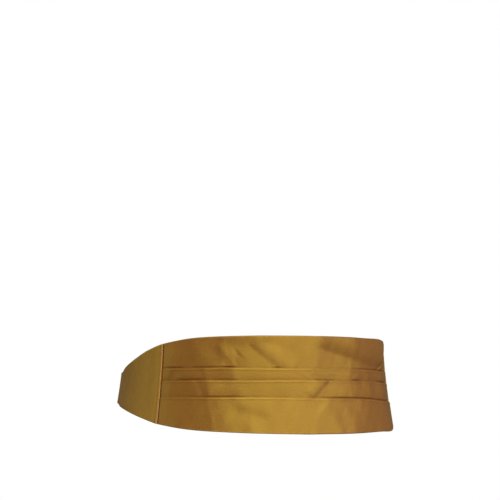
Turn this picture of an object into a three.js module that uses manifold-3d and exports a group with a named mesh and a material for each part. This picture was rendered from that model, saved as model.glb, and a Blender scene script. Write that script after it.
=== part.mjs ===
// A pleated satin cummerbund, fastened as it is worn round a waist. Millimetres, +Z up.
// The origin is the middle of the waist opening, level with the middle of the front panel.
// The front faces -Y and the wearer's left side is at +X.
import * as THREE from "three";
import { mergeVertices } from "three/addons/utils/BufferGeometryUtils.js";
import Module from "manifold-3d";

// The waist that the sash goes round
const WAIST_WIDTH = 333; // inside the sash, side to side, level with the origin
const WAIST_DEPTH = 250; // inside the sash, front to back
const HIP_SLOPE = 0.133; // how far the body widens for each millimetre down
const WAIST_HOLLOW = 2.4; // how far the sash's edges stand off a straight slope
const BACK_DROP = 6; // how much lower the sash sits at the back than in front

// Front panel, pleated
const PANEL_WIDTH = 351; // round the body, from seam to seam
const PANEL_HEIGHT = 116; // at the middle
const PANEL_WALL = 1.2;
const PLEAT_CLOTH = 1.2; // the doubled cloth of a pleat's lip
const POCKET_GAP = 0.4; // the slit behind a lip
const HEM = 2.2; // thickness of the turned top and bottom edges
const TONGUE_INSET = 2; // the panel's sewn end is this much lower than the wing over it

// Side wings, plain
const WING_LENGTH = 120.5; // round the body, from the seam to the strap
const WING_WALL = 1.2;
const WING_LAP = 6; // how far a wing covers the panel's sewn end
const RIDGE_WIDTH = 2.6; // the folded front edge of a wing
const RIDGE_HEIGHT = 0.4;
const WING_END_MARGIN = 1.5; // a wing's end stands this much above and below the strap

// Straps and clasp at the back
const STRAP_WIDTH = 28;
const STRAP_WALL = 1.2;
const STRAP_LAP = 22; // how far a strap goes inside a wing's end
const STRAP_RETURN = 18; // the strap's end, turned round the clasp's bar and back along itself
const SLOT_PLAY = 0.8; // between a strap's edge and the end of its slot
const CLASP_WALL = 2;
const CLASP_BAR = 3; // the outer bars and the rails
const CLASP_SLOT = 4; // the width of each slot
const CLASP_CENTRE = 8; // the plate between the two slots
const CLASP_CORNER = 3; // the radius of the clasp's outer corners
const CLASP_BEVEL = 0.4;

// Between pieces, and between two layers of one piece
const CLEAR = 0.3;

// How fine the surfaces are
const STATION_STEP = 9;
const WALL_STEPS = 4;
const LOOP_STEPS = 8;

// Height of the panel's edges, as shares of half its height. "along" is the share of the way to the seam.
const PANEL_EDGES = [
  { along: 0, top: 1, bottom: 1 },
  { along: 0.33, top: 0.996, bottom: 0.982 },
  { along: 0.6, top: 0.979, bottom: 0.946 },
  { along: 0.82, top: 0.937, bottom: 0.885 },
  { along: 1, top: 0.849, bottom: 0.784 },
];

// The pleats open upwards. "lip" is the height of the folded edge over the panel's middle, "fall" how much
// lower it is at the left seam, and "pocket" the depth behind it, all as shares of the panel's height.
const PLEATS = [
  { lip: 0.177, fall: 0.004, pocket: 0.069 },
  { lip: 0.052, fall: -0.002, pocket: 0.069 },
  { lip: -0.122, fall: 0.01, pocket: 0.086 },
];

// How much of the difference between the seam's height and the strap's is left along a wing.
const WING_EDGES = [
  { along: 0, top: 1, bottom: 1 },
  { along: 0.21, top: 0.77, bottom: 0.74 },
  { along: 0.44, top: 0.44, bottom: 0.47 },
  { along: 0.67, top: 0.19, bottom: 0.25 },
  { along: 0.88, top: 0, bottom: 0.08 },
  { along: 1, top: 0, bottom: 0 },
];

// Satin and metal colours
const SATIN = { color: 0xa9802f, roughness: 0.5, metalness: 0.15 };
const WING_SATIN = { color: 0x8f6e2c, roughness: 0.55, metalness: 0.1 };
const CLASP_METAL = { color: 0xb58e3e, roughness: 0.3, metalness: 0.95 };

const HALF_PANEL = PANEL_WIDTH / 2;
const HALF_HEIGHT = PANEL_HEIGHT / 2;
const WING_END = HALF_PANEL + WING_LENGTH;
const CLASP_LENGTH = 2 * (CLASP_BAR + CLASP_SLOT) + CLASP_CENTRE;
const CLASP_HEIGHT = STRAP_WIDTH + 2 * (SLOT_PLAY + CLASP_BAR);

const waist = new THREE.EllipseCurve(0, 0, WAIST_WIDTH / 2, WAIST_DEPTH / 2, -Math.PI / 2, 1.5 * Math.PI);
waist.arcLengthDivisions = 2000;
const WAIST_LENGTH = waist.getLength();
const BACK = WAIST_LENGTH / 2;

// The place "arc" round the waist from the front's middle, "out" from its skin and "height" over the middle.
function seat(arc, out, height) {
  const share = THREE.MathUtils.euclideanModulo(arc / WAIST_LENGTH, 1);
  const foot = waist.getPointAt(share);
  const run = waist.getTangentAt(share);
  const hollow = WAIST_HOLLOW * (height / HALF_HEIGHT) ** 2;
  const away = out - HIP_SLOPE * height + hollow;
  const drop = BACK_DROP * (foot.y / WAIST_DEPTH + 0.5);
  return new THREE.Vector3(foot.x + run.y * away, foot.y - run.x * away, height - drop);
}

// A smooth value from one column of a table.
function column(table, name) {
  const rows = table.map((row) => row.along);
  const curve = new THREE.CubicInterpolant(rows, table.map((row) => row[name]), 1);
  return (along) => curve.evaluate(THREE.MathUtils.clamp(along, 0, 1))[0];
}

const panelTop = column(PANEL_EDGES, "top");
const panelBottom = column(PANEL_EDGES, "bottom");
const wingTop = column(WING_EDGES, "top");
const wingBottom = column(WING_EDGES, "bottom");

function panelEdges(arc) {
  const along = Math.abs(arc) / HALF_PANEL;
  return { top: HALF_HEIGHT * panelTop(along), bottom: -HALF_HEIGHT * panelBottom(along) };
}

function wingEdges(arc) {
  const along = (arc - HALF_PANEL) / WING_LENGTH;
  const seam = panelEdges(HALF_PANEL);
  const end = STRAP_WIDTH / 2 + WING_END_MARGIN;
  return {
    top: end + (seam.top - end) * wingTop(along),
    bottom: -end + (seam.bottom + end) * wingBottom(along),
  };
}

function pleatLine(pleat, arc) {
  return (pleat.lip - (pleat.fall * arc) / HALF_PANEL) * PANEL_HEIGHT;
}

// Places from first to last, both included, no more than a step apart.
function stations(first, last, step) {
  const count = Math.max(1, Math.ceil(Math.abs(last - first) / step));
  return Array.from({ length: count + 1 }, (_, i) => first + ((last - first) * i) / count);
}

// A closed surface through outlines of equal length, one for each station, with a cap on the first and last.
function loft(outlines, place) {
  const count = outlines[0].length;
  const last = (outlines.length - 1) * count;
  const positions = outlines.flatMap((outline, i) => outline.flatMap((point) => place(i, point).toArray()));
  const faces = [];
  for (let row = 0; row < last; row += count)
    for (let j = 0; j < count; j++) {
      const k = (j + 1) % count;
      faces.push(row + j, row + count + k, row + k);
      faces.push(row + j, row + count + j, row + count + k);
    }
  for (const [a, b, c] of THREE.ShapeUtils.triangulateShape(outlines[0], [])) faces.push(a, b, c);
  for (const [a, b, c] of THREE.ShapeUtils.triangulateShape(outlines.at(-1), []))
    faces.push(last + a, last + c, last + b);
  const geometry = new THREE.BufferGeometry();
  geometry.setAttribute("position", new THREE.Float32BufferAttribute(positions, 3));
  geometry.setIndex(faces);
  return geometry;
}

// The upright section of a plain wall with round edges, as (out, height).
function wallOutline({ inner, outer, bottom, top }) {
  const round = (outer - inner) / 2;
  const middle = (inner + outer) / 2;
  const heights = stations(bottom + round, top - round, (top - bottom) / WALL_STEPS);
  return [
    new THREE.Vector2(middle, bottom),
    ...heights.map((height) => new THREE.Vector2(outer, height)),
    new THREE.Vector2(middle, top),
    ...heights.reverse().map((height) => new THREE.Vector2(inner, height)),
  ];
}

// The upright section of the pleated panel, as (out, height): up the folded outside and down the inside.
function pleatedOutline(arc) {
  const { bottom, top } = panelEdges(arc);
  const lipInner = PANEL_WALL + POCKET_GAP;
  const lipOuter = lipInner + PLEAT_CLOTH;
  const lipRound = PLEAT_CLOTH / 2;
  const points = [
    [HEM / 2, bottom],
    [HEM, bottom + HEM / 2],
  ];
  for (const pleat of [...PLEATS].reverse()) {
    const line = pleatLine(pleat, arc);
    const floor = line - pleat.pocket * PANEL_HEIGHT;
    points.push([lipOuter - PLEAT_CLOTH / 4, floor - lipRound]);
    points.push([lipOuter, line - lipRound]);
    points.push([lipInner + lipRound, line]);
    points.push([lipInner, line - lipRound]);
    points.push([lipInner, floor]);
    points.push([PANEL_WALL, floor]);
    points.push([PANEL_WALL, line]);
  }
  points.push([HEM, top - HEM / 2]);
  points.push([HEM / 2, top]);
  for (const height of stations(top - HEM / 2, bottom + HEM / 2, (top - bottom) / WALL_STEPS))
    points.push([0, height]);
  return points.map(([out, height]) => new THREE.Vector2(out, height));
}

// A piece that runs round the waist through the given stations, with its section at each of them.
function roundTheWaist(arcs, sectionAt) {
  return loft(arcs.map(sectionAt), (i, point) => seat(arcs[i], point.x, point.y));
}

const wasm = await Module();
wasm.setup();

function toSolid(geometry) {
  const plain = new THREE.BufferGeometry();
  plain.setAttribute("position", geometry.getAttribute("position"));
  plain.setIndex(geometry.getIndex());
  const merged = mergeVertices(plain, 1e-4);
  return new wasm.Manifold(
    new wasm.Mesh({
      numProp: 3,
      vertProperties: merged.getAttribute("position").array,
      triVerts: new Uint32Array(merged.getIndex().array),
    }),
  );
}

function joined(geometries) {
  const made = geometries.map(toSolid).reduce((whole, next) => whole.add(next)).getMesh();
  const geometry = new THREE.BufferGeometry();
  geometry.setAttribute("position", new THREE.BufferAttribute(made.vertProperties, 3));
  geometry.setIndex(new THREE.BufferAttribute(made.triVerts, 1));
  return geometry;
}

// The same shape on the wearer's other side.
function mirrored(geometry) {
  const other = geometry.clone().scale(-1, 1, 1);
  const faces = other.getIndex().array;
  for (let i = 0; i < faces.length; i += 3) [faces[i + 1], faces[i + 2]] = [faces[i + 2], faces[i + 1]];
  return other;
}

// The pleated cloth, with a thin sewn end at each side that goes under the wing.
function frontPanel() {
  const pleated = roundTheWaist(stations(-HALF_PANEL, HALF_PANEL, STATION_STEP), pleatedOutline);
  const seam = panelEdges(HALF_PANEL);
  const tongueStart = HALF_PANEL - TONGUE_INSET;
  const tongueEnd = HALF_PANEL + WING_LAP - 2 * CLEAR;
  const tongue = roundTheWaist([tongueStart, HALF_PANEL, tongueEnd], () =>
    wallOutline({
      inner: 0,
      outer: PANEL_WALL,
      bottom: seam.bottom + TONGUE_INSET,
      top: seam.top - TONGUE_INSET,
    }),
  );
  return joined([pleated, tongue, mirrored(tongue)]);
}

// The plain wing. It laps over the panel's sewn end in front and over the strap behind.
function wing() {
  const front = HALF_PANEL + CLEAR;
  const lapEnd = HALF_PANEL + WING_LAP;
  const strapStart = WING_END - STRAP_LAP;
  const overPanel = PANEL_WALL + CLEAR;
  const overStrap = STRAP_WALL + CLEAR;
  const step = WING_WALL;
  const level = (first, last, lift) =>
    stations(first, last, STATION_STEP).map((arc) => ({ arc, lift, ridge: 0 }));
  const rows = [
    { arc: front, lift: overPanel, ridge: 0 },
    { arc: front + RIDGE_WIDTH / 4, lift: overPanel, ridge: RIDGE_HEIGHT },
    { arc: front + (RIDGE_WIDTH * 3) / 4, lift: overPanel, ridge: RIDGE_HEIGHT },
    { arc: front + RIDGE_WIDTH, lift: overPanel, ridge: 0 },
    { arc: lapEnd, lift: overPanel, ridge: 0 },
    { arc: lapEnd + step, lift: 0, ridge: 0 },
    ...level(lapEnd + 2 * step, strapStart - 2 * step, 0),
    { arc: strapStart - step, lift: overStrap, ridge: 0 },
    ...level(strapStart, WING_END, overStrap),
  ];
  return loft(
    rows.map((row) =>
      wallOutline({ inner: row.lift, outer: row.lift + WING_WALL + row.ridge, ...wingEdges(row.arc) }),
    ),
    (i, point) => seat(rows[i].arc, point.x, point.y),
  );
}

// The strap, from inside the wing's end to the clasp, round its outer bar and back along itself.
function strap() {
  const barCentre = BACK - CLASP_LENGTH / 2 + CLASP_BAR / 2;
  const lay = STRAP_WALL / 2;
  const claspInner = STRAP_WALL + CLEAR;
  const overReturn = claspInner + lay;
  const overBar = claspInner + CLASP_WALL + CLEAR + lay;
  const loopCentre = new THREE.Vector2(barCentre + CLASP_BAR / 2, (lay + overBar) / 2);
  const loopRadius = (overBar - lay) / 2;
  const returnEnd = barCentre - STRAP_RETURN;
  const rise = STRAP_RETURN / 3;
  const line = [
    ...stations(WING_END - STRAP_LAP, WING_END, STATION_STEP).map((arc) => [arc, lay]),
    ...stations(WING_END + rise, returnEnd - rise, STATION_STEP).map((arc) => [arc, lay]),
    ...stations(returnEnd, returnEnd + rise, STATION_STEP).map((arc) => [arc, overReturn]),
    [barCentre - CLASP_BAR, overBar],
    ...stations(0, LOOP_STEPS, 1).map((i) => {
      const turn = Math.PI * (0.5 - i / LOOP_STEPS);
      return [loopCentre.x + loopRadius * Math.cos(turn), loopCentre.y + loopRadius * Math.sin(turn)];
    }),
    ...stations(returnEnd + rise, returnEnd, STATION_STEP).map((arc) => [arc, lay]),
  ].map(([arc, out]) => new THREE.Vector2(arc, out));
  const sides = line.map((point, i) => {
    const before = line[Math.max(i - 1, 0)];
    const after = line[Math.min(i + 1, line.length - 1)];
    const run = new THREE.Vector2().subVectors(after, before).normalize();
    return new THREE.Vector2(-run.y, run.x);
  });
  const section = wallOutline({
    inner: -STRAP_WALL / 2,
    outer: STRAP_WALL / 2,
    bottom: -STRAP_WIDTH / 2,
    top: STRAP_WIDTH / 2,
  });
  return loft(
    line.map(() => section),
    (i, point) => seat(line[i].x + sides[i].x * point.x, line[i].y + sides[i].y * point.x, point.y),
  );
}

function roundedRectangle(path, centre, length, height, corner) {
  const [left, right] = [centre - length / 2 + corner, centre + length / 2 - corner];
  const [low, high] = [corner - height / 2, height / 2 - corner];
  path.absarc(right, low, corner, -Math.PI / 2, 0);
  path.absarc(right, high, corner, 0, Math.PI / 2);
  path.absarc(left, high, corner, Math.PI / 2, Math.PI);
  path.absarc(left, low, corner, Math.PI, 1.5 * Math.PI);
  path.closePath();
  return path;
}

// One plain plate with a slot for each strap, bent to the waist.
function clasp() {
  const plate = roundedRectangle(new THREE.Shape(), 0, CLASP_LENGTH, CLASP_HEIGHT, CLASP_CORNER);
  for (const side of [-1, 1]) {
    const centre = (side * (CLASP_CENTRE + CLASP_SLOT)) / 2;
    const slotHeight = CLASP_HEIGHT - 2 * CLASP_BAR;
    plate.holes.push(roundedRectangle(new THREE.Path(), centre, CLASP_SLOT, slotHeight, CLASP_BEVEL));
  }
  const flat = new THREE.ExtrudeGeometry(plate, {
    depth: CLASP_WALL - 2 * CLASP_BEVEL,
    bevelThickness: CLASP_BEVEL,
    bevelSize: CLASP_BEVEL,
    bevelOffset: -CLASP_BEVEL,
    bevelSegments: 1,
    curveSegments: 4,
  });
  const inner = STRAP_WALL + CLEAR + CLASP_BEVEL;
  const places = flat.getAttribute("position");
  for (let i = 0; i < places.count; i++) {
    const spot = seat(BACK + places.getX(i), inner + places.getZ(i), places.getY(i));
    places.setXYZ(i, spot.x, spot.y, spot.z);
  }
  return flat;
}

function piece(name, geometry, finish) {
  const mesh = new THREE.Mesh(geometry, new THREE.MeshStandardMaterial(finish));
  mesh.name = name;
  return mesh;
}

const cummerbund = new THREE.Group();
const leftWing = wing();
const leftStrap = strap();
cummerbund.add(
  piece("front_panel", frontPanel(), SATIN),
  piece("left_wing", leftWing, WING_SATIN),
  piece("right_wing", mirrored(leftWing), WING_SATIN),
  piece("left_strap", leftStrap, WING_SATIN),
  piece("right_strap", mirrored(leftStrap), WING_SATIN),
  piece("back_clasp", clasp(), CLASP_METAL),
);

export default cummerbund;
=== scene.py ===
"""A pleated satin cummerbund, fastened as it is worn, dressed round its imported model. Metres, +Z up."""

import math

import bmesh
import bpy
import numpy as np
from bpy.props import FloatProperty, FloatVectorProperty, IntProperty, PointerProperty
from mathutils import Matrix, Vector


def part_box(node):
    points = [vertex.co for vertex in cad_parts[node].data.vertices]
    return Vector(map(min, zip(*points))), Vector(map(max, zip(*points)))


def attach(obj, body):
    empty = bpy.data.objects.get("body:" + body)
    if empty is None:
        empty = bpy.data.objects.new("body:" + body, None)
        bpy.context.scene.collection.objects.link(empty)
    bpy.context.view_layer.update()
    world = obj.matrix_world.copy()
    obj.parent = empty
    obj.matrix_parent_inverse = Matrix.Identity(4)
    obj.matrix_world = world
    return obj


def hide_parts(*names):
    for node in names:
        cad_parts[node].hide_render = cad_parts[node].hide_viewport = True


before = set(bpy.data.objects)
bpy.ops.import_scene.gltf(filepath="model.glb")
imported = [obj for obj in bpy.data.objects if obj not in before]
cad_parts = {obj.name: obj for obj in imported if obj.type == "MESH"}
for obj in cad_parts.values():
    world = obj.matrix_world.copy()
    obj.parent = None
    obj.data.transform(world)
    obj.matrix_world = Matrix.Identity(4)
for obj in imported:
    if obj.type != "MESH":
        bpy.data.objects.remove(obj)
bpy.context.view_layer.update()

bl_info = {
    "name": "Pleated cummerbund",
    "version": (1, 0, 0),
    "blender": (4, 5, 0),
    "location": "3D View > Sidebar > Cummerbund",
    "description": "Makes a pleated satin waist sash with its back strap and clasp",
    "category": "Add Mesh",
}

MM = 0.001
PANEL_LOW, PANEL_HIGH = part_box("front_panel")

# Height of the panel's edges, as shares of half its height. "along" is the share of the way to the seam.
PANEL_EDGES = [
    {"along": 0.0, "top": 1.0, "bottom": 1.0},
    {"along": 0.33, "top": 0.996, "bottom": 0.982},
    {"along": 0.6, "top": 0.979, "bottom": 0.946},
    {"along": 0.82, "top": 0.937, "bottom": 0.885},
    {"along": 1.0, "top": 0.849, "bottom": 0.784},
]

# The pleats open upwards. "lip" is the height of the folded edge over the panel's middle, "fall" how much
# lower it is at the left seam, and "pocket" the depth behind it, all as shares of the panel's height.
PLEATS = [
    {"lip": 0.17, "fall": 0.004, "pocket": 0.069},
    {"lip": 0.048, "fall": -0.002, "pocket": 0.069},
    {"lip": -0.13, "fall": 0.01, "pocket": 0.086},
]

# Where the cloth tucks in behind a lip, and the lip stands away from it. Millimetres round the panel.
GAPES = [
    {"pleat": 0, "arc": -159, "wide": 13, "gape": 0.4, "tuck": 0.65},
    {"pleat": 0, "arc": -122, "wide": 16, "gape": 0.4, "tuck": 0.6},
    {"pleat": 0, "arc": -96, "wide": 9, "gape": 0.5, "tuck": 0.75},
    {"pleat": 0, "arc": -37, "wide": 5, "gape": 0.15, "tuck": 0.35},
    {"pleat": 0, "arc": 125, "wide": 50, "gape": 0.5, "tuck": 0.6},
    {"pleat": 1, "arc": -138, "wide": 15, "gape": 0.4, "tuck": 0.65},
    {"pleat": 1, "arc": -98, "wide": 13, "gape": 0.15, "tuck": 0.25},
    {"pleat": 1, "arc": 27, "wide": 18, "gape": 0.3, "tuck": 0.3},
    {"pleat": 1, "arc": 79, "wide": 7, "gape": 0.4, "tuck": 0.6},
    {"pleat": 1, "arc": 150, "wide": 25, "gape": 0.9, "tuck": 0.7},
    {"pleat": 2, "arc": -105, "wide": 32, "gape": 0.2, "tuck": 0.4},
    {"pleat": 2, "arc": 95, "wide": 62, "gape": 0.6, "tuck": 0.8},
    {"pleat": 2, "arc": 155, "wide": 25, "gape": 0.9, "tuck": 0.3},
]

# How much of the difference between the seam's height and the strap's is left along a wing.
WING_EDGES = [
    {"along": 0.0, "top": 1.0, "bottom": 1.0},
    {"along": 0.21, "top": 0.77, "bottom": 0.74},
    {"along": 0.44, "top": 0.44, "bottom": 0.47},
    {"along": 0.67, "top": 0.19, "bottom": 0.25},
    {"along": 0.88, "top": 0.0, "bottom": 0.08},
    {"along": 1.0, "top": 0.0, "bottom": 0.0},
]

# The upright ridges of each tier from the top down, in millimetres round the panel. The cloth spans from one
# to the next, and "flat" is how flat it is there, from 0, round as the waist, to 1. "lean" is how far the
# ridge runs to the wearer's left for each millimetre up.
RIDGES = [
    [
        {"arc": -175, "lean": 0.0, "flat": 1.0},
        {"arc": -143, "lean": 0.1, "flat": 0.9},
        {"arc": -106, "lean": 0.05, "flat": 0.6},
        {"arc": -74, "lean": 0.1, "flat": 0.0},
        {"arc": 16, "lean": 0.0, "flat": 0.9},
        {"arc": 69, "lean": 0.1, "flat": 0.3},
        {"arc": 112, "lean": 0.4, "flat": 0.2},
        {"arc": 145, "lean": 0.2, "flat": 0.5},
        {"arc": 175, "lean": 0.0, "flat": 0.0},
    ],
    [
        {"arc": -175, "lean": 0.0, "flat": 1.0},
        {"arc": -152, "lean": 0.3, "flat": 0.9},
        {"arc": -120, "lean": -0.2, "flat": 1.0},
        {"arc": -88, "lean": 0.1, "flat": 1.0},
        {"arc": -52, "lean": 0.2, "flat": 0.0},
        {"arc": 10, "lean": 0.1, "flat": 0.9},
        {"arc": 68, "lean": 0.0, "flat": 0.8},
        {"arc": 104, "lean": -0.2, "flat": 0.8},
        {"arc": 140, "lean": 0.0, "flat": 0.5},
        {"arc": 175, "lean": 0.0, "flat": 0.0},
    ],
    [
        {"arc": -175, "lean": 0.0, "flat": 1.0},
        {"arc": -150, "lean": -0.2, "flat": 0.9},
        {"arc": -120, "lean": -0.3, "flat": 0.9},
        {"arc": -70, "lean": 0.1, "flat": 0.0},
        {"arc": 14, "lean": 0.1, "flat": 0.95},
        {"arc": 69, "lean": 0.1, "flat": 0.8},
        {"arc": 104, "lean": 0.2, "flat": 0.8},
        {"arc": 142, "lean": 0.0, "flat": 0.5},
        {"arc": 175, "lean": 0.0, "flat": 0.0},
    ],
    [
        {"arc": -175, "lean": 0.0, "flat": 1.0},
        {"arc": -150, "lean": 0.1, "flat": 0.8},
        {"arc": -118, "lean": -0.1, "flat": 0.6},
        {"arc": -62, "lean": 0.2, "flat": 0.0},
        {"arc": -8, "lean": 0.5, "flat": 0.4},
        {"arc": 42, "lean": 0.95, "flat": 0.5},
        {"arc": 98, "lean": 0.1, "flat": 0.6},
        {"arc": 136, "lean": 0.1, "flat": 0.5},
        {"arc": 175, "lean": 0.0, "flat": 0.0},
    ],
]

# Bends of the cloth of a tier along a line from one place to another, in millimetres round the panel and up.
# "right" and "left" are how far the cloth at the right and left hand of that line turns inwards, in degrees.
# "edge" is the width of the bend, "reach" how far its sides carry, and "fade" the length of its two ends.
BENDS = [
    {"tier": 0, "arc": -108, "height": 44, "to_arc": -30, "to_height": 50,
     "right": 0, "left": -7, "edge": 3, "reach": 24, "fade": 20},
    {"tier": 0, "arc": -72, "height": 47, "to_arc": -18, "to_height": 6.5,
     "right": -1, "left": -11, "edge": 1.2, "reach": 14, "fade": 7},
    {"tier": 0, "arc": -62, "height": 52, "to_arc": -6, "to_height": 38,
     "right": 0, "left": -5, "edge": 2, "reach": 14, "fade": 12},
    {"tier": 0, "arc": -91, "height": 44, "to_arc": -75, "to_height": 27,
     "right": -7, "left": -9, "edge": 1.4, "reach": 4.4, "fade": 7},
    {"tier": 0, "arc": -110, "height": 50, "to_arc": -80, "to_height": 14,
     "right": 8, "left": 0, "edge": 1.5, "reach": 11, "fade": 8},
    {"tier": 0, "arc": 10, "height": 45, "to_arc": 150, "to_height": 14.4,
     "right": 0, "left": -14, "edge": 1.5, "reach": 30, "fade": 14},
    {"tier": 0, "arc": 178, "height": 42, "to_arc": 128, "to_height": 17,
     "right": 36, "left": 8, "edge": 0.5, "reach": 3.6, "fade": 5},
    {"tier": 0, "arc": 68, "height": 31, "to_arc": 68, "to_height": 14,
     "right": 2, "left": -7, "edge": 0.8, "reach": 3.5, "fade": 6},
    {"tier": 0, "arc": -70, "height": 42, "to_arc": 20, "to_height": 40,
     "right": 0, "left": 1.5, "edge": 4, "reach": 40, "fade": 16},
    {"tier": 1, "arc": -75, "height": 13, "to_arc": 75, "to_height": 13,
     "right": -2, "left": 2, "edge": 3, "reach": 14, "fade": 30},
    {"tier": 1, "arc": -14, "height": 19, "to_arc": 6, "to_height": 8,
     "right": 4, "left": 3, "edge": 1, "reach": 5, "fade": 5},
    {"tier": 1, "arc": 5, "height": 14.5, "to_arc": 48, "to_height": 13.5,
     "right": 7, "left": 0, "edge": 0.8, "reach": 7, "fade": 5},
    {"tier": 1, "arc": -158, "height": 24, "to_arc": -172, "to_height": 4,
     "right": 5, "left": 8, "edge": 1.5, "reach": 7, "fade": 6},
    {"tier": 2, "arc": 40, "height": 10, "to_arc": 6, "to_height": -20,
     "right": -12, "left": -2, "edge": 1.2, "reach": 10, "fade": 8},
    {"tier": 2, "arc": -134, "height": 12, "to_arc": -120, "to_height": -20,
     "right": -6, "left": -7, "edge": 2, "reach": 8, "fade": 8},
    {"tier": 3, "arc": -180, "height": -40, "to_arc": 180, "to_height": -40,
     "right": 2, "left": 0, "edge": 5, "reach": 40, "fade": 70},
    {"tier": 3, "arc": -94, "height": -20, "to_arc": -40, "to_height": -37,
     "right": 8, "left": -3, "edge": 1.8, "reach": 12, "fade": 16},
    {"tier": 3, "arc": 20, "height": -17, "to_arc": 56, "to_height": -52,
     "right": -4, "left": 3, "edge": 2, "reach": 16, "fade": 10},
]


# The panel's left corners. "middle" and "width" are shares of half the panel's width.
CORNERS = {
    "lift": {"middle": 0.8, "width": 0.14},
    "sag": {"middle": 0.83, "width": 0.1},
    "flare": {"middle": 0.86, "width": 0.16},
}
FLARE_DEPTH = 40 * MM


def length(name, description, default):
    about = {"name": name, "description": description, "default": default}
    return FloatProperty(**about, unit="LENGTH", subtype="DISTANCE")


def number(name, description, default):
    return FloatProperty(name=name, description=description, default=default)


def angle(name, description, degrees):
    return FloatProperty(name=name, description=description, default=math.radians(degrees), subtype="ANGLE")


def colour(name, description, default):
    return FloatVectorProperty(name=name, description=description, default=default, subtype="COLOR", size=3)


def share(name, description, default):
    return FloatProperty(name=name, description=description, default=default, subtype="FACTOR")


class CummerbundSizes(bpy.types.PropertyGroup):
    """The sizes of the sash."""

    waist_width: length("Waist width", "Inside the sash, side to side", 0.333)
    waist_depth: length("Waist depth", "Inside the sash, front to back", 0.25)
    hip_slope: number("Hip slope", "How far the waist widens for each unit down", 0.133)
    waist_hollow: length("Waist hollow", "How far the sash's edges stand off a straight slope", 0.0024)
    back_drop: length("Back drop", "How much lower the sash sits at the back than in front", 0.006)
    panel_width: length("Panel width", "The front panel round the body, from seam to seam", 0.351)
    panel_height: length("Panel height", "The front panel at its middle", PANEL_HIGH.z - PANEL_LOW.z)
    backing: length("Backing", "The cloth behind the pleats", 0.0011)
    lip_cloth: length("Lip cloth", "The doubled cloth of a pleat's lip", 0.0012)
    pocket_gap: length("Pocket gap", "The slit behind a lip where it lies flat", 0.00015)
    pleat_sag: length("Pleat sag", "How much the pleats sag towards the left seam", 0.0018)
    corner_lift: length("Corner lift", "How much the panel's upper left corner stands up", 0.0015)
    corner_flare: length("Corner flare", "How far the panel's left corners stand out", 0.0022)
    corner_sag: length("Corner sag", "How much the panel's lower left corner hangs down", 0.0022)
    lip_roll: length("Lip roll", "How far a lip's rolled edge leans back", 0.0004)
    puff: length("Puff", "How far the cloth stands out between two pleats", 0.0002)
    hem: length("Hem", "Thickness of the turned edges", 0.0022)
    wing_length: length("Wing length", "From the seam to the strap's start, round the body", 0.1205)
    wing_wall: length("Wing wall", "Thickness of the wing's cloth", 0.0012)
    wing_lap: length("Wing lap", "How far a wing covers the panel's sewn end", 0.006)
    wing_margin: length("Wing margin", "How far a wing's end stands above and below the strap", 0.0015)
    ridge_width: length("Ridge width", "The folded front edge of a wing", 0.0026)
    ridge_height: length("Ridge height", "How far the folded edge stands up", 0.0003)
    strap_width: length("Strap width", "Height of the back strap", 0.028)
    strap_wall: length("Strap wall", "Thickness of the back strap", 0.0012)
    strap_lap: length("Strap lap", "How far a strap goes inside a wing's end", 0.022)
    strap_return: length("Strap return", "The end of a strap, turned round the clasp's bar", 0.018)
    slot_play: length("Slot play", "Between a strap's edge and the end of its slot", 0.0008)
    clasp_wall: length("Clasp wall", "Thickness of the clasp's plate", 0.002)
    clasp_bar: length("Clasp bar", "Width of the clasp's outer bars and rails", 0.003)
    clasp_slot: length("Clasp slot", "Width of each slot", 0.004)
    clasp_centre: length("Clasp centre", "The plate between the two slots", 0.008)
    clasp_corner: length("Clasp corner", "Radius of the clasp's corners", 0.003)
    clasp_bevel: length("Clasp bevel", "Rounding of the clasp's edges", 0.0005)
    clearance: length("Clearance", "Between two layers of cloth", 0.0003)


class CummerbundFinish(bpy.types.PropertyGroup):
    """The colours and finish of the sash."""

    satin: colour("Satin", "The satin's lighter threads", (0.275, 0.080, 0.022))
    satin_deep: colour("Deep satin", "The satin's darker threads", (0.165, 0.046, 0.0125))
    wing_satin: colour("Wing satin", "The wings' lighter threads", (0.3, 0.12, 0.0205))
    wing_deep: colour("Deep wing satin", "The wings' darker threads", (0.232, 0.09, 0.015))
    # Painted highlight: a lighter, paler tint for the wings' folded front edges, standing in for the light
    # they catch.
    painted_fold_highlight: colour("Fold", "The wings' folded front edges", (0.34, 0.13, 0.045))
    sheen: colour("Sheen", "Tint of the satin's reflections", (1.0, 1.0, 0.1))
    roughness: share("Roughness", "Roughness of the satin's reflections", 0.31)
    thread: length("Thread", "Width of two threads of the weave", 0.00045)
    brass: colour("Brass", "Colour of the clasp", (0.7, 0.44, 0.13))


class CummerbundStudio(bpy.types.PropertyGroup):
    """The camera and the light."""

    distance: length("Distance", "From the camera to the middle of the waist", 4.5)
    azimuth: angle("Azimuth", "Of the camera, to the wearer's left of straight ahead", -28.6)
    elevation: angle("Elevation", "Of the camera over the waist", 0.05)
    roll: angle("Roll", "Of the camera, clockwise", 0.457)
    focal_pixels: number("Focal length", "In pixels of the picture", 3737.4)
    picture: IntProperty(name="Picture", description="Side of the picture, in pixels", default=500)
    waist_across: number("Waist across", "Pixels from the left to the waist", 254.15)
    waist_down: number("Waist down", "Pixels from the top to the waist", 384.56)
    floor_depth: length("Floor depth", "From the waist down to the floor", 0.35)
    fill: number("Fill", "Strength of the light from all round", 0.48)


def ease(t):
    t = np.clip(t, 0, 1)
    return t * t * (3 - 2 * t)


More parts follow.
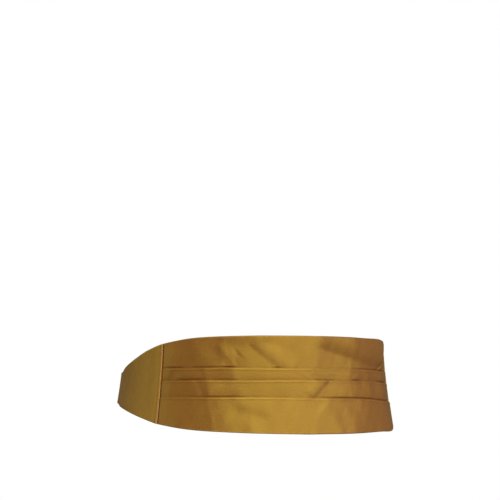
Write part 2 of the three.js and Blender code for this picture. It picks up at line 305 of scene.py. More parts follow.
def column(table, name):
    """A smooth function of "along" through one column of a table."""
    along = np.array([row["along"] for row in table])
    value = np.array([row[name] for row in table])
    gaps = np.diff(along)
    chords = np.diff(value) / gaps
    bends = np.eye(len(along))
    for k in range(1, len(along) - 1):
        bends[k, k - 1 : k + 2] = gaps[k], 2 * (gaps[k - 1] + gaps[k]), gaps[k - 1]
    inner = 3 * (gaps[1:] * chords[:-1] + gaps[:-1] * chords[1:])
    slope = np.linalg.solve(bends, np.concatenate([chords[:1], inner, chords[-1:]]))

    def at(place):
        place = np.clip(place, along[0], along[-1])
        i = np.clip(np.searchsorted(along, place) - 1, 0, len(along) - 2)
        gap = along[i + 1] - along[i]
        t = (place - along[i]) / gap
        from_start = value[i] * (1 + 2 * t) + slope[i] * gap * t
        from_end = value[i + 1] * (3 - 2 * t) + slope[i + 1] * gap * (t - 1)
        return from_start * (1 - t) ** 2 + from_end * t**2

    return at


OVAL_STEPS = 8001


def oval_turns(sizes):
    """Arcs round the oval from the middle of the front, and the angle at each of them."""
    turn = np.linspace(-2.5 * np.pi, 1.5 * np.pi, OVAL_STEPS)
    pace = np.hypot(sizes.waist_width / 2 * np.sin(turn), sizes.waist_depth / 2 * np.cos(turn))
    arc = np.concatenate([[0], np.cumsum((pace[1:] + pace[:-1]) / 2 * np.diff(turn))])
    return arc - np.interp(-np.pi / 2, turn, arc), turn


class Waist:
    """The oval that the sash goes round. A place on it is an arc from the front's middle, out and height."""

    def __init__(self, sizes):
        self.sizes = sizes
        self.across, self.deep = sizes.waist_width / 2, sizes.waist_depth / 2
        self.arc, self.turn = oval_turns(sizes)
        self.back = self.arc[-1] / 2

    def seat(self, arc, out, height):
        turn = np.interp(arc, self.arc, self.turn)
        x, y = self.across * np.cos(turn), self.deep * np.sin(turn)
        run_x, run_y = -self.across * np.sin(turn), self.deep * np.cos(turn)
        pace = np.hypot(run_x, run_y)
        half = self.sizes.panel_height / 2
        away = out - self.sizes.hip_slope * height + self.sizes.waist_hollow * (height / half) ** 2
        drop = self.sizes.back_drop * (y / self.sizes.waist_depth + 0.5)
        return np.stack([x + run_y / pace * away, y - run_x / pace * away, height - drop], axis=-1)


def corner_share(sizes, name, arc):
    corner = CORNERS[name]
    return np.exp(-((arc / sizes.panel_width * 2 - corner["middle"]) / corner["width"]) ** 2)


def panel_edges(sizes, arc):
    along = np.abs(arc) / (sizes.panel_width / 2)
    half = sizes.panel_height / 2
    top = half * column(PANEL_EDGES, "top")(along)
    bottom = -half * column(PANEL_EDGES, "bottom")(along)
    lift = sizes.corner_lift * corner_share(sizes, "lift", arc)
    return top + lift, bottom - sizes.corner_sag * corner_share(sizes, "sag", arc)


def wing_edges(sizes, side, arc):
    along = (arc - sizes.panel_width / 2) / sizes.wing_length
    seam_top, seam_bottom = panel_edges(sizes, side * np.array(sizes.panel_width / 2))
    end = sizes.strap_width / 2 + sizes.wing_margin
    top = end + (seam_top - end) * column(WING_EDGES, "top")(along)
    bottom = -end + (seam_bottom + end) * column(WING_EDGES, "bottom")(along)
    return top, bottom


def flare_share(sizes, arc, height):
    """How much of the left corners' flare there is at each place, from 0 to 1."""
    from_edge = np.abs(height) - sizes.panel_height / 2
    return corner_share(sizes, "flare", arc) * ease((from_edge + FLARE_DEPTH) / FLARE_DEPTH)


class Section:
    """A closed outline at each station, in runs of points: out, height and how much the relief moves them."""

    def __init__(self, stations):
        self.stations = stations
        self.runs = []

    def add(self, tier, out, height, weight):
        count = max(np.shape(value)[-1] for value in (out, height, weight) if np.ndim(value))
        shape = (self.stations, count)
        self.runs.append((tier, *(np.broadcast_to(value, shape) for value in (out, height, weight))))

    def round(self, tier, out, height, radius, start, stop, weights, count=9):
        """Half a round edge, from start to stop degrees."""
        turn = np.radians(np.linspace(start, stop, count))
        weight = np.linspace(*weights, count)
        out, height = out + radius * np.cos(turn), height + radius * np.sin(turn)
        self.add(tier, out, height, weight)

    def joined(self):
        tiers = np.concatenate([np.full(run[1].shape[1], run[0]) for run in self.runs])
        return tiers, *(np.concatenate([run[k] for run in self.runs], axis=1) for k in (1, 2, 3))


PANEL_STEP = 0.9 * MM
PANEL_STATIONS = 330
INSIDE_ROWS = 32
END_CROWD = 0.6
POCKET_STEPS = 8
TUCK_RISE = 2.4 * MM
TUCK_LEAST = 0.08 * MM
ROLL_DEPTH = 1.6 * MM
SAG_START = 0.45
LIP_WANDER = 0.2 * MM
LIP_WANDER_LENGTH = 130 * MM


def swells(arc, pleat, name):
    """The sum of one column of GAPES for a pleat, in metres."""
    total = np.zeros_like(arc)
    for row in GAPES:
        if row["pleat"] == pleat:
            total += row[name] * MM * np.exp(-(((arc / MM - row["arc"]) / row["wide"]) ** 4))
    return total


def lip_line(sizes, pleat, arc):
    along = arc / (sizes.panel_width / 2)
    row = PLEATS[pleat]
    wander = LIP_WANDER * np.sin(2 * np.pi * arc / LIP_WANDER_LENGTH + 2 * pleat)
    sag = sizes.pleat_sag * ease((along - SAG_START) / (1 - SAG_START))
    return (row["lip"] - row["fall"] * along) * sizes.panel_height + wander - sag


def pleated_section(sizes, arc):
    """The upright section of the panel: up the folded outside, over the top and down the plain inside."""
    top, bottom = (edge[:, None] for edge in panel_edges(sizes, arc))
    arc = arc[:, None]
    lip, hem = sizes.lip_cloth / 2, sizes.hem / 2
    gap, backing = sizes.pocket_gap, sizes.backing
    made = Section(len(arc))
    tier = len(PLEATS)
    made.round(tier, hem, bottom + hem, hem, -180, 0, (0, 1))
    start, mouth, start_out = bottom + hem, bottom + hem, sizes.hem
    tuck = np.zeros_like(arc)
    for pleat in reversed(range(len(PLEATS))):
        line = lip_line(sizes, pleat, arc)
        floor = line - PLEATS[pleat]["pocket"] * sizes.panel_height
        gape = gap + swells(arc, pleat, "gape")
        outer = backing + gape + 2 * lip
        made.add(tier, *rise(start, mouth, line - lip, start_out, outer, tuck, sizes, sizes.lip_roll))
        made.round(tier, backing + gape + lip, line - lip, lip, 0, 180, (1, 1))
        t = 1 - np.arange(1, POCKET_STEPS) / (POCKET_STEPS - 1)
        made.add(tier, backing + gap + (gape - gap) * t, floor + (line - lip - floor) * t, t)
        made.add(tier, np.full_like(arc, backing + gap / 2), floor - gap / 2, 0)
        start, mouth, start_out = floor, line, backing
        tuck = TUCK_LEAST + swells(arc, pleat, "tuck")
        tier = pleat
    made.add(tier, *rise(start, mouth, top - hem, start_out, sizes.hem, tuck, sizes, 0))
    made.round(tier, hem, top - hem, hem, 0, 180, (1, 0))
    t = np.linspace(0, 1, INSIDE_ROWS)[1:-1]
    made.add(tier, 0, top - hem + (bottom - top + 2 * hem) * t, 0 * t)
    return made.joined()


def rise(start, mouth, end, start_out, end_out, tuck, sizes, roll):
    """The cloth from the floor of the pocket below, out at its mouth, and up to the next lip or edge."""
    hidden = np.linspace(0, 1, POCKET_STEPS)[:-1] if np.any(mouth > start) else np.zeros(0)
    below = start + (mouth - start) * hidden
    count = int(np.ceil(np.mean(end - mouth) / PANEL_STEP))
    t = np.arange(count) / count
    t = t - END_CROWD * np.sin(2 * np.pi * t) / (2 * np.pi)
    above = mouth + (end - mouth) * t
    from_mouth = (above - mouth) / TUCK_RISE
    from_end = (end - above) / ROLL_DEPTH
    out = start_out + (end_out - start_out) * t
    out = out + tuck * ease(from_mouth) * (1 - ease(t * 1.6 - 0.5))
    out = out + roll * ease(1 - from_end * 0.5) - 2 * roll * np.clip(1 - from_end, 0, 1) ** 2
    out = out + sizes.puff * np.sin(np.pi * t) * ease(from_mouth)
    out = np.concatenate([np.broadcast_to(start_out, below.shape), out], axis=1)
    height = np.concatenate([below, above], axis=1)
    weight = np.concatenate([ease(hidden), np.ones(count)])
    return out, height, weight


def bent(row, arc, height):
    """How far outwards one bend moves the cloth at each place."""
    start = np.array([row["arc"], row["height"]]) * MM
    stop = np.array([row["to_arc"], row["to_height"]]) * MM
    span = np.hypot(*(stop - start))
    run = (stop - start) / span
    away = (arc - start[0]) * -run[1] + (height - start[1]) * run[0]
    along = (arc - start[0]) * run[0] + (height - start[1]) * run[1]
    edge, reach, ends = (row[name] * MM for name in ("edge", "reach", "fade"))
    right, left = (math.tan(math.radians(row[side])) for side in ("right", "left"))
    far = np.sqrt(away**2 + edge**2) - edge
    depth = right * (far - away) / 2 + left * (far + away) / 2
    fade = ease(along / ends) * ease((span - along) / ends)
    return -depth * np.exp(-((away / reach) ** 2)) * fade


RIDGE_STEP = 0.5 * MM
RIDGE_SOFT = 1.8 * MM
RIDGE_LIFT = 0.5 * MM
FLAT_TO = 112 * MM
FLAT_FADE = 36 * MM


def spanned(sizes, tier, arc, height):
    """How far inwards the cloth of a tier lies where it spans between its ridges, in metres."""
    columns = ([row[name] for row in RIDGES[tier]] for name in ("arc", "lean", "flat"))
    ridges, leans, flats = map(np.array, columns)
    ridges = ridges * MM
    arc = arc - np.interp(arc, ridges, leans) * height
    place = np.arange(ridges[0], ridges[-1], RIDGE_STEP)
    k = np.clip(np.searchsorted(ridges, place, side="right") - 1, 0, len(ridges) - 2)
    across, deep = sizes.waist_width / 2, sizes.waist_depth / 2
    turn = np.interp(place, *oval_turns(sizes))
    radius = (across**2 * np.sin(turn) ** 2 + deep**2 * np.cos(turn) ** 2) ** 1.5 / (across * deep)
    flat = flats[k] * (1 - ease((np.abs(place) - FLAT_TO) / FLAT_FADE))
    depth = RIDGE_LIFT - flat * (place - ridges[k]) * (ridges[k + 1] - place) / (2 * radius)
    reach = np.arange(-4, 4.01, RIDGE_STEP / RIDGE_SOFT)
    kernel = np.exp(-(reach**2) / 2)
    padded = np.pad(depth, len(reach) // 2, mode="edge")
    soft = np.convolve(padded, kernel / kernel.sum(), mode="same")[len(reach) // 2 :]
    return np.interp(arc, place, soft[: len(place)])


# Small uneven waves. "round" and "up" are their lengths in millimetres, and "size" is half their height.
WAVES = [
    {"round": 71, "up": 160, "size": 0.16},
    {"round": 43, "up": -95, "size": 0.1},
    {"round": 27, "up": 70, "size": 0.06},
    {"round": 17, "up": -33, "size": 0.03},
]


def relief(tier, arc, height):
    total = np.zeros_like(arc)
    for k, wave in enumerate(WAVES):
        phase = 2 * np.pi * (arc / wave["round"] + height / wave["up"]) / MM
        total += wave["size"] * MM * np.sin(phase + 1.7 * tier + 2.3 * k)
    for row in BENDS:
        if row["tier"] == tier:
            total += bent(row, arc, height)
    return total


def swept_mesh(name, points, run):
    """A closed mesh through loops of points with its ends filled, and a map of the cloth in metres."""
    stations, around = points.shape[:2]
    index = np.arange(stations * around).reshape(stations, around)
    here, after = index[:-1], index[1:]
    quads = np.stack([here, after, np.roll(after, -1, axis=1), np.roll(here, -1, axis=1)], axis=-1)
    faces = quads.reshape(-1, 4).tolist() + [index[0].tolist(), index[-1][::-1].tolist()]
    mesh = bpy.data.meshes.new(name)
    mesh.from_pydata(points.reshape(-1, 3).tolist(), [], faces)
    closed = np.concatenate([points, points[:, :1]], axis=1)
    path = np.cumsum(np.linalg.norm(np.diff(closed, axis=1), axis=-1), axis=1)
    path = np.concatenate([np.zeros((stations, 1)), path], axis=1)
    cloth = np.stack([np.broadcast_to(run[:, None], path.shape), path], axis=-1)
    wide = np.arange(stations * (around + 1)).reshape(stations, around + 1)
    corners = np.stack([wide[:-1, :-1], wide[1:, :-1], wide[1:, 1:], wide[:-1, 1:]], axis=-1).ravel()
    ends = np.concatenate([cloth[0, :-1], cloth[-1, :-1][::-1]])
    layer = mesh.uv_layers.new(name="cloth")
    places = np.concatenate([cloth.reshape(-1, 2)[corners], ends])
    layer.data.foreach_set("uv", places.astype(np.float32).ravel())
    mesh.polygons.foreach_set("use_smooth", np.ones(len(mesh.polygons), dtype=bool))
    mesh.update()
    made = bpy.data.objects.new(name, mesh)
    bpy.context.scene.collection.objects.link(made)
    return made


class Shade:
    """A socket that takes part in expressions, which add their Math nodes."""

    def __init__(self, recipe, socket):
        self.recipe = recipe
        self.socket = socket

    def math(self, operation, *values):
        return self.recipe.get("ShaderNodeMath", {"operation": operation}, dict(enumerate(values)))

    def __add__(self, other):
        return self.math("ADD", self, other)

    __radd__ = __add__

    def __sub__(self, other):
        return self.math("SUBTRACT", self, other)

    def __rsub__(self, other):
        return self.math("SUBTRACT", other, self)

    def __mul__(self, other):
        return self.math("MULTIPLY", self, other)

    __rmul__ = __mul__


class Recipe:
    """The node tree of one material."""

    def __init__(self, name):
        self.material = bpy.data.materials.new(name)
        self.material.use_nodes = True
        self.tree = self.material.node_tree
        self.tree.nodes.clear()

    def node(self, kind, settings=None, inputs=None):
        made = self.tree.nodes.new(kind)
        for key, value in (settings or {}).items():
            setattr(made, key, value)
        for key, value in (inputs or {}).items():
            if isinstance(value, Shade):
                self.tree.links.new(value.socket, made.inputs[key])
            else:
                made.inputs[key].default_value = value
        return made

    def get(self, kind, settings=None, inputs=None, output=0):
        return Shade(self, self.node(kind, settings, inputs).outputs[output])

    def scaled(self, place, *sizes):
        return self.get("ShaderNodeVectorMath", {"operation": "MULTIPLY"}, {0: place, 1: sizes})

    def noise(self, place, detail=2.0):
        return self.get("ShaderNodeTexNoise", inputs={"Vector": place, "Scale": 1.0, "Detail": detail})

    def blend(self, amount, first, second):
        first, second = (value if isinstance(value, Shade) else (*value, 1) for value in (first, second))
        colours = {"Factor": amount, 6: first, 7: second}
        return self.get("ShaderNodeMix", {"data_type": "RGBA"}, colours, output=2)

    def bump(self, strength, depth, height):
        inputs = {"Strength": strength, "Distance": depth, "Height": height}
        return self.get("ShaderNodeBump", inputs=inputs)

    def finish(self, **inputs):
        named = {key.replace("_", " "): value for key, value in inputs.items()}
        shader = self.get("ShaderNodeBsdfPrincipled", inputs=named)
        self.node("ShaderNodeOutputMaterial", inputs={"Surface": shader})
        return self.material


STITCH_WIDTH = 0.6 * MM
STITCH_PITCH = 3.2 * MM
WING_STITCHES = (3.5 * MM, 7 * MM)
STRAP_STITCHES = 4 * MM


def sewn_row(along, across, line):
    """A row of stitches at one place along the cloth: 1 on the thread, and -1 between two stitches."""
    off = along.math("ABSOLUTE", along) - line
    near = off.math("MAXIMUM", 1 - off.math("ABSOLUTE", off) * (1 / STITCH_WIDTH), 0)
    return near * across.math("SINE", across * (2 * math.pi / STITCH_PITCH))


def satin(name, finish, light, deep, roughness, sewn=(), painted_fold_highlight=None):
    """Satin on the map of the cloth, with rows of stitches at the places along it that sewn lists.

    A wing's cloth is folded round its seam, and from the seam to its folded edge it gets a lighter, paler
    colour from the finish: a painted highlight standing in for the light the folded edge catches.
    """
    recipe = Recipe(name)
    place = recipe.get("ShaderNodeUVMap", {"uv_map": "cloth"}, output="UV")
    axes = recipe.node("ShaderNodeSeparateXYZ", inputs={0: place})
    along, across = (Shade(recipe, axes.outputs[k]) for k in (0, 1))
    weft, warp = (value * (2 * math.pi / finish.thread) for value in (along, across))
    threads = weft.math("SINE", weft + 0.5 * warp) * warp.math("SINE", warp)
    slubs = recipe.noise(recipe.scaled(place, 70, 1500, 1))
    streaks = recipe.noise(recipe.scaled(place, 900, 60, 1))
    clouds = recipe.noise(recipe.scaled(place, 45, 60, 1), 3.0)
    flecks = recipe.noise(recipe.scaled(place, 260, 420, 1), 3.0)
    tone = 0.2 * slubs + 0.15 * streaks + 0.3 * clouds + 0.7 * flecks - 0.2
    height = 0.35 * threads + 0.8 * slubs + 0.5 * streaks + 4.0 * flecks
    for line in sewn:
        row = sewn_row(along, across, line)
        tone, height = tone + 0.8 * row, height + 3.0 * row
    base = recipe.blend(tone, deep, light)
    # Painted highlight: near the seam, up to the folded edge, the cloth gets the lighter, paler tint.
    if painted_fold_highlight:
        off = along.math("ABSOLUTE", along)
        base = recipe.blend(off.math("LESS_THAN", off, painted_fold_highlight), base, finish.painted_fold_highlight)
    return recipe.finish(
        Base_Color=base,
        Roughness=roughness - 0.06 + 0.06 * slubs + 0.06 * clouds,
        Metallic=0.2,
        IOR=2.0,
        Specular_Tint=(*finish.sheen, 1),
        Sheen_Weight=0.03,
        Sheen_Roughness=0.4,
        Sheen_Tint=(*finish.sheen, 1),
        Normal=recipe.bump(0.3, 0.15 * MM, height),
    )


def brass(finish):
    recipe = Recipe("brushed brass")
    place = recipe.get("ShaderNodeTexCoord", output="Object")
    brushed = recipe.noise(recipe.scaled(place, 150, 150, 4000))
    clouds = recipe.noise(recipe.scaled(place, 160, 160, 160), 3.0)
    deep = [0.6 * value for value in finish.brass]
    return recipe.finish(
        Base_Color=recipe.blend(0.75 * clouds + 0.25 * brushed, deep, finish.brass),
        Roughness=0.14 + 0.16 * brushed + 0.1 * clouds,
        Metallic=1.0,
        Normal=recipe.bump(0.25, 0.08 * MM, brushed),
    )


def plain_paint(name, base, roughness, glow):
    recipe = Recipe(name)
    grain = recipe.noise(recipe.scaled(recipe.get("ShaderNodeTexCoord", output="Object"), 30, 30, 30))
    lighter = [min(1, value * 1.02) for value in base]
    return recipe.finish(
        Base_Color=recipe.blend(grain, base, lighter),
        Roughness=roughness,
        Emission_Color=(1, 1, 1, 1),
        Emission_Strength=glow,
    )


def settle(piece, material, slot, *nodes):
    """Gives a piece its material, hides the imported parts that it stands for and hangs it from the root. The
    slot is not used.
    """
    piece.data.materials.append(material)
    if nodes:
        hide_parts(*nodes)
    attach(piece, "root")
    return piece


RIDGE_WANDER = 2 * MM
RIDGE_WAVE = 52 * MM
RELIEF_LIMITS = (-0.7 * MM, 4 * MM)
SEAM_EASE = 12 * MM
DITCH = 1.2 * MM
TONGUE_SHARE = 0.5
TONGUE_INSET = 2 * MM


class CUMMERBUND_OT_front_panel(bpy.types.Operator):
    """Folds the pleated front panel"""

    bl_idname = "cummerbund.front_panel"
    bl_label = "Front panel"

    def execute(self, context):
        sizes, finish = context.scene.cummerbund_sizes, context.scene.cummerbund_finish
        half = sizes.panel_width / 2
        ends = np.linspace(0, sizes.wing_lap - 2 * sizes.clearance, 8)[1:]
        arc = np.concatenate([-half - ends[::-1], np.linspace(-half, half, PANEL_STATIONS), half + ends])
        tiers, outs, heights, weights = pleated_section(sizes, np.clip(arc, -half, half))
        arcs = np.broadcast_to(arc[:, None], outs.shape)
        wander = RIDGE_WANDER * np.sin(2 * np.pi * (heights / RIDGE_WAVE + arcs / sizes.panel_width))
        spans = [spanned(sizes, tier, arcs + wander, heights) for tier in range(len(RIDGES))]
        inmost = np.min(spans, axis=0)
        moved = inmost + relief(-1, arcs, heights)
        for tier, span in enumerate(spans):
            own = np.clip(relief(tier, arcs, heights) + span - inmost, *RELIEF_LIMITS)
            moved = moved + np.where(tiers == tier, own, 0) * weights
        beyond = np.abs(arcs) - half
        thin = ease(1 + beyond / DITCH)
        moved = moved + sizes.corner_flare * flare_share(sizes, arcs, heights)
        outs = outs * (1 - (1 - TONGUE_SHARE) * thin) + moved * ease(-beyond / SEAM_EASE)
        low, high = heights.min(axis=1, keepdims=True), heights.max(axis=1, keepdims=True)
        inset = TONGUE_INSET * ease(beyond / TONGUE_INSET)
        heights = (low + high) / 2 + (heights - (low + high) / 2) * (1 - 2 * inset / (high - low))
        piece = swept_mesh("pleated_front", Waist(sizes).seat(arcs, outs, heights), arc)
        material = satin("pleated satin", finish, finish.satin, finish.satin_deep, finish.roughness)
        settle(piece, material, "pleated_satin", "front_panel")
        return {"FINISHED"}


WING_STATIONS = 120
WING_SETTLE = 16 * MM
WING_ROWS = 60
NOSE_LEAST = 0.2
END_LEAST = 0.06


def wing_section(sizes, side):
    """The upright section of a wing at each station, and the stations."""
    half = sizes.panel_width / 2
    front, lap_end, end = half + sizes.clearance, half + sizes.wing_lap, half + sizes.wing_length
    strap_start = end - sizes.strap_lap
    nose = sizes.ridge_width * (1 - np.cos(np.linspace(0, np.pi, 17))) / 2
    arc = np.concatenate([front + nose, np.linspace(front + nose[-1], end, WING_STATIONS)[1:]])
    over_panel = sizes.backing + sizes.clearance
    over_strap = sizes.strap_wall + sizes.clearance
    lift = over_panel * (1 - ease((arc - lap_end) / WING_SETTLE))
    lift = lift + over_strap * ease((arc - strap_start + WING_SETTLE / 2) / (WING_SETTLE / 2))
    radius = sizes.ridge_width / 2
    ridge = np.sqrt(np.clip(1 - ((arc - front - radius) / radius) ** 2, 0, 1))
    body = np.where(arc < front + radius, np.maximum(ridge, NOSE_LEAST), 1)
    tail = np.clip((end - arc) / sizes.wing_wall, 0, 1)
    body = body * np.sqrt(np.clip(1 - (1 - tail) ** 2, END_LEAST, 1))
    thick = sizes.wing_wall * body + sizes.ridge_height * ridge
    top, bottom = wing_edges(sizes, side, arc)
    lift, thick, top, bottom = (value[:, None] for value in (lift, thick, top, bottom))
    hem = thick / 2
    made = Section(len(arc))
    t = np.linspace(0, 1, WING_ROWS)[1:-1]
    made.round(0, lift + hem, bottom + hem, hem, -180, 0, (0, 1), 8)
    made.add(0, lift + thick, bottom + hem + (top - bottom - 2 * hem) * t, 1)
    made.round(0, lift + hem, top - hem, hem, 0, 180, (1, 0), 8)
    t = t[1::2]
    made.add(0, lift, top - hem - (top - bottom - 2 * hem) * t, 0)
    return arc, *made.joined()[1:]


class CUMMERBUND_OT_wings(bpy.types.Operator):
    """Cuts the two plain side wings"""

    bl_idname = "cummerbund.wings"
    bl_label = "Side wings"

    def execute(self, context):
        sizes, finish = context.scene.cummerbund_sizes, context.scene.cummerbund_finish
        waist = Waist(sizes)
        end = sizes.panel_width / 2 + sizes.wing_length
        tones = finish.wing_satin, finish.wing_deep, finish.roughness + 0.08
        # How far round the painted highlight on a wing's folded front edge reaches.
        painted_fold_highlight = sizes.panel_width / 2 + sizes.clearance + sizes.ridge_width
        sewn = [end - inset for inset in WING_STITCHES]
        material = satin("plain satin", finish, *tones, sewn=sewn, painted_fold_highlight=painted_fold_highlight)
        for side, node in ((1, "left_wing"), (-1, "right_wing")):
            arc, outs, heights, weights = wing_section(sizes, side)
            arcs = np.broadcast_to(arc[:, None], outs.shape)
            from_seam = arcs - arc[0] - sizes.wing_lap
            from_strap = arc[-1] - sizes.strap_lap - arcs
            held = ease(from_seam / SEAM_EASE) * ease(from_strap / SEAM_EASE)
            outs = outs + np.maximum(relief(len(RIDGES) + side, arcs, heights), 0) * held
            if side < 0:
                arc, arcs, outs, heights = -arc[::-1], -arcs[::-1], outs[::-1], heights[::-1]
            piece = swept_mesh(node + "_cloth", waist.seat(arcs, outs, heights), arc)
            settle(piece, material, "plain_satin", node)
        return {"FINISHED"}


STRAP_STEP = 1.5 * MM


def strap_line(sizes, waist):
    """The middle of the strap from inside the wing, round the clasp's outer bar and back, as (arc, out)."""
    end = sizes.panel_width / 2 + sizes.wing_length
    plate = 2 * (sizes.clasp_bar + sizes.clasp_slot) + sizes.clasp_centre
    bar = waist.back - plate / 2 + sizes.clasp_bar / 2
    lay = sizes.strap_wall / 2
    inner = sizes.strap_wall + sizes.clearance
    over_return, over_bar = inner + lay, inner + sizes.clasp_wall + sizes.clearance + lay
    radius = (over_bar - lay) / 2
    loop = bar + sizes.clasp_bar / 2
    return_end = bar - sizes.strap_return
    rise_length = sizes.strap_return / 3
    out_at = np.array([
        [end - sizes.strap_lap, lay],
        [return_end - rise_length, lay],
        [return_end, over_return],
        [return_end + rise_length, over_return],
        [bar - sizes.clasp_bar, over_bar],
        [loop, over_bar],
    ])
    going = np.arange(out_at[0, 0], loop, STRAP_STEP)
    outs = np.interp(going, out_at[:, 0], out_at[:, 1])
    for _ in range(3):
        outs[1:-1] = (outs[:-2] + 2 * outs[1:-1] + outs[2:]) / 4
        outs[going >= bar - sizes.clasp_bar] = over_bar
    turn = np.pi * (0.5 - np.linspace(0, 1, 14))
    round_arc, round_out = loop + radius * np.cos(turn), (lay + over_bar) / 2 + radius * np.sin(turn)
    back = np.arange(loop - STRAP_STEP, return_end + rise_length / 3, -STRAP_STEP)
    return np.concatenate([
        np.stack([going, outs], axis=-1),
        np.stack([round_arc, round_out], axis=-1),
        np.stack([back, 0 * back + lay], axis=-1),
    ])


def band_section(width, wall, count=24):
    """The section of a woven band with round selvedges, as (across its thickness, height)."""
    r = wall / 2
    t = np.linspace(0, 1, count)[1:-1]
    turn = np.radians(np.linspace(-180, 0, 7))
    low = np.stack([r * np.cos(turn), r - width / 2 + r * np.sin(turn)], axis=-1)
    up = np.stack([0 * t + r, (width - wall) * (t - 0.5)], axis=-1)
    return np.concatenate([low, up, -low, -up])


class CUMMERBUND_OT_straps(bpy.types.Operator):
    """Runs a strap from each wing to the clasp and back round its bar"""

    bl_idname = "cummerbund.straps"
    bl_label = "Back straps"

    def execute(self, context):
        sizes, finish = context.scene.cummerbund_sizes, context.scene.cummerbund_finish
        waist = Waist(sizes)
        line = strap_line(sizes, waist)
        run = np.gradient(line, axis=0)
        run /= np.linalg.norm(run, axis=1, keepdims=True)
        band = band_section(sizes.strap_width, sizes.strap_wall)
        arcs = line[:, :1] - run[:, 1:] * band[:, 0]
        outs = line[:, 1:] + run[:, :1] * band[:, 0]
        heights = np.broadcast_to(band[:, 1], arcs.shape)
        steps = np.linalg.norm(np.diff(line, axis=0), axis=1)
        path = np.concatenate([[0], np.cumsum(steps)])
        turn = np.argmax(line[:, 0])
        over = np.interp(line[-1, 0] + STRAP_STITCHES, line[:turn, 0], path[:turn])
        sewn = [path[-1] - STRAP_STITCHES, over]
        tones = finish.wing_satin, finish.wing_deep, finish.roughness + 0.05
        material = satin("strap satin", finish, *tones, sewn=sewn)
        for side, node in ((1, "left_strap"), (-1, "right_strap")):
            points = waist.seat(side * arcs, outs, heights)
            if side < 0:
                points = points[::-1]
            piece = swept_mesh(node + "_band", points, side * path)
            settle(piece, material, "strap_satin", node)
        return {"FINISHED"}


class CUMMERBUND_OT_clasp(bpy.types.Operator):
    """Cuts the slotted clasp and bends it to the waist"""

    bl_idname = "cummerbund.clasp"
    bl_label = "Back clasp"

    def execute(self, context):
        sizes, finish = context.scene.cummerbund_sizes, context.scene.cummerbund_finish
        bevel = sizes.clasp_bevel
        wide = 2 * (sizes.clasp_bar + sizes.clasp_slot) + sizes.clasp_centre
        tall = sizes.strap_width + 2 * (sizes.slot_play + sizes.clasp_bar)
        slot = (sizes.clasp_slot, tall - 2 * sizes.clasp_bar)
        middle = (sizes.clasp_centre + sizes.clasp_slot) / 2
        curve = bpy.data.curves.new("clasp_plate", "CURVE")
        curve.dimensions, curve.fill_mode = "2D", "BOTH"
        curve.extrude, curve.bevel_depth = sizes.clasp_wall / 2 - bevel, bevel
        curve.offset, curve.bevel_resolution = -bevel, 3
        self.outline(curve, 0, wide, tall, sizes.clasp_corner)
        for side in (-1, 1):
            self.outline(curve, side * middle, *slot, sizes.clasp_bevel * 2)
        drawn = bpy.data.objects.new("clasp_plate", curve)
        bpy.context.scene.collection.objects.link(drawn)
        graph = bpy.context.evaluated_depsgraph_get()
        mesh = bpy.data.meshes.new_from_object(drawn.evaluated_get(graph))
        bpy.data.objects.remove(drawn)
        work = bmesh.new()
        work.from_mesh(mesh)
        bmesh.ops.remove_doubles(work, verts=work.verts, dist=1e-6)
        for cut in np.linspace(-wide / 2, wide / 2, 24)[1:-1]:
            everything = work.verts[:] + work.edges[:] + work.faces[:]
            bmesh.ops.bisect_plane(work, geom=everything, plane_co=(cut, 0, 0), plane_no=(1, 0, 0))
        waist = Waist(sizes)
        inner = sizes.strap_wall + sizes.clearance + sizes.clasp_wall / 2
        for vertex in work.verts:
            x, y, z = vertex.co
            vertex.co = waist.seat(waist.back + x, inner + z, y)
        bmesh.ops.recalc_face_normals(work, faces=work.faces)
        for face in work.faces:
            face.smooth = True
        work.to_mesh(mesh)
        work.free()
        mesh.set_sharp_from_angle(angle=math.radians(40))
        mesh.materials.clear()
        piece = bpy.data.objects.new("clasp_plate", mesh)
        bpy.context.scene.collection.objects.link(piece)
        settle(piece, brass(finish), "clasp_metal", "back_clasp")
        return {"FINISHED"}

    def outline(self, curve, centre, wide, tall, corner):
        x, y = wide / 2 - corner, tall / 2 - corner
        corners = [(x, -y, -90), (x, y, 0), (-x, y, 90), (-x, -y, 180)]
        turns = [(cx, cy, math.radians(start + 15 * k)) for cx, cy, start in corners for k in range(7)]
        places = [(centre + cx + corner * math.cos(a), cy + corner * math.sin(a)) for cx, cy, a in turns]
        spline = curve.splines.new("POLY")
        spline.points.add(len(places) - 1)
        for point, (px, py) in zip(spline.points, places):
            point.co = (px, py, 0, 1)
        spline.use_cyclic_u = True


WHITE = (1, 1, 1)
GOLD_CARD = (1, 0.93, 0.5)

# The studio's soft lights. Angles are in degrees, from straight ahead of the wearer to their left, and up.
LIGHTS = [
    {"name": "front_softbox", "azimuth": 17.5, "elevation": 9.5, "distance": 2.2,
     "wide": 4.0, "tall": 1.5, "power": 27.5, "tint": WHITE},
    {"name": "upper_softbox", "azimuth": 8, "elevation": 52, "distance": 2.0,
     "wide": 2.4, "tall": 1.8, "power": 38, "tint": WHITE},
    {"name": "left_fill", "azimuth": -96, "elevation": 10, "distance": 2.6,
     "wide": 1.8, "tall": 1.8, "power": 5.2, "tint": WHITE},
    {"name": "right_fill", "azimuth": 95, "elevation": 8, "distance": 2.6,
     "wide": 1.6, "tall": 1.6, "power": 1.2, "tint": GOLD_CARD},
    {"name": "back_softbox", "azimuth": 202, "elevation": 35, "distance": 2.4,
     "wide": 1.8, "tall": 1.2, "power": 15, "tint": WHITE},
]

# Where the light from all round is weaker: from its full strength "start" of the way to that side, down to
# the share "least".
DARKER = [
    {"azimuth": 150, "elevation": 0, "start": 0.05, "least": 0.3},
    {"azimuth": 0, "elevation": -90, "start": -0.1, "least": 0.4},
]
DARKER_RANGE = 0.7
FILL_TINT = (1.0, 0.97, 0.94)

FLOOR_RADIUS = 6
FLOOR_GREY = (0.3, 0.3, 0.3)
FLOOR_GLOW = 0.72


def towards(azimuth, elevation):
    flat = math.cos(elevation)
    return Vector((math.sin(azimuth) * flat, -math.cos(azimuth) * flat, math.sin(elevation)))


